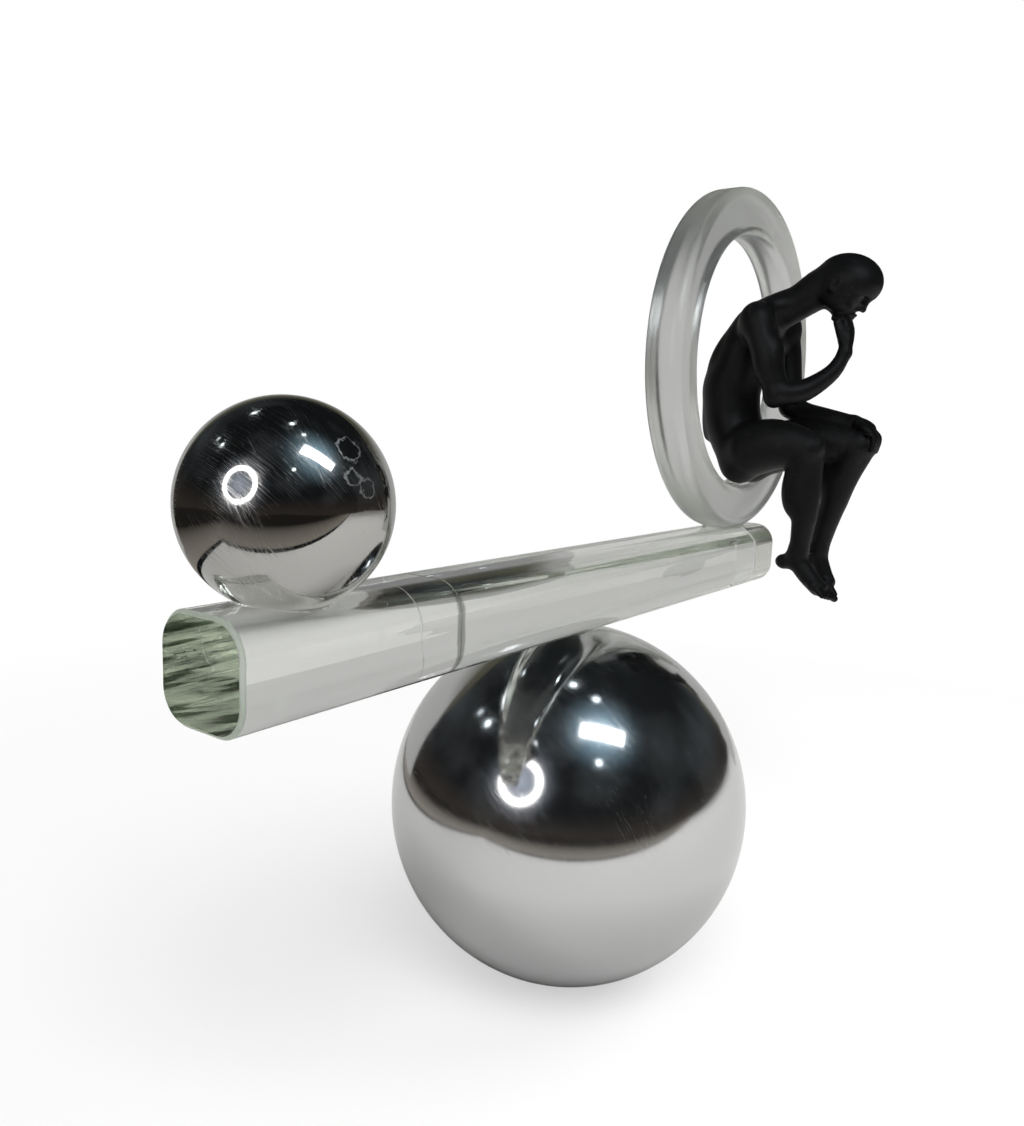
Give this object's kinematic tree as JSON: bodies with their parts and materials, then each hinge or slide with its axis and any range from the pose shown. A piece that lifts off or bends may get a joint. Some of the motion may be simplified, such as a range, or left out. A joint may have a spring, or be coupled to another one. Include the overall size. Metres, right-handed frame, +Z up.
{
  "type": "balance ornament",
  "caption": "Desk ornament: a glass bar across a polished steel ball carries a small steel ball on one end and a glass ring with a seated figure on the other.",
  "frame": {"origin": "middle of the foot pad's flat underside", "axes": "+Z up, +X along the bar from the small ball towards the ring, and the figure faces -Y"},
  "size_m": [0.2805, 0.1, 0.2359],
  "materials": {
    "base_steel": "polished",
    "weight_steel": "polished",
    "foot_steel": "satin",
    "ballast": "matte",
    "foot_rubber": "matte",
    "bar_glass": "polished",
    "ring_glass": "polished",
    "adhesive": "gloss",
    "figure_resin": "matte"
  },
  "bodies": {
    "root": {"base_shell_lower": "base_steel", "base_shell_upper": "base_steel", "base_ballast": "ballast", "base_foot_disc": "foot_steel", "base_foot_pad": "foot_rubber", "base_adhesive": "adhesive", "bar_front": "bar_glass", "bar_rear": "bar_glass", "bar_joint_adhesive": "adhesive", "counterweight_ball": "weight_steel", "counterweight_adhesive": "adhesive", "glass_ring": "ring_glass", "ring_adhesive": "adhesive", "figure": "figure_resin", "figure_adhesive": "adhesive"}
  },
  "joints": []
}
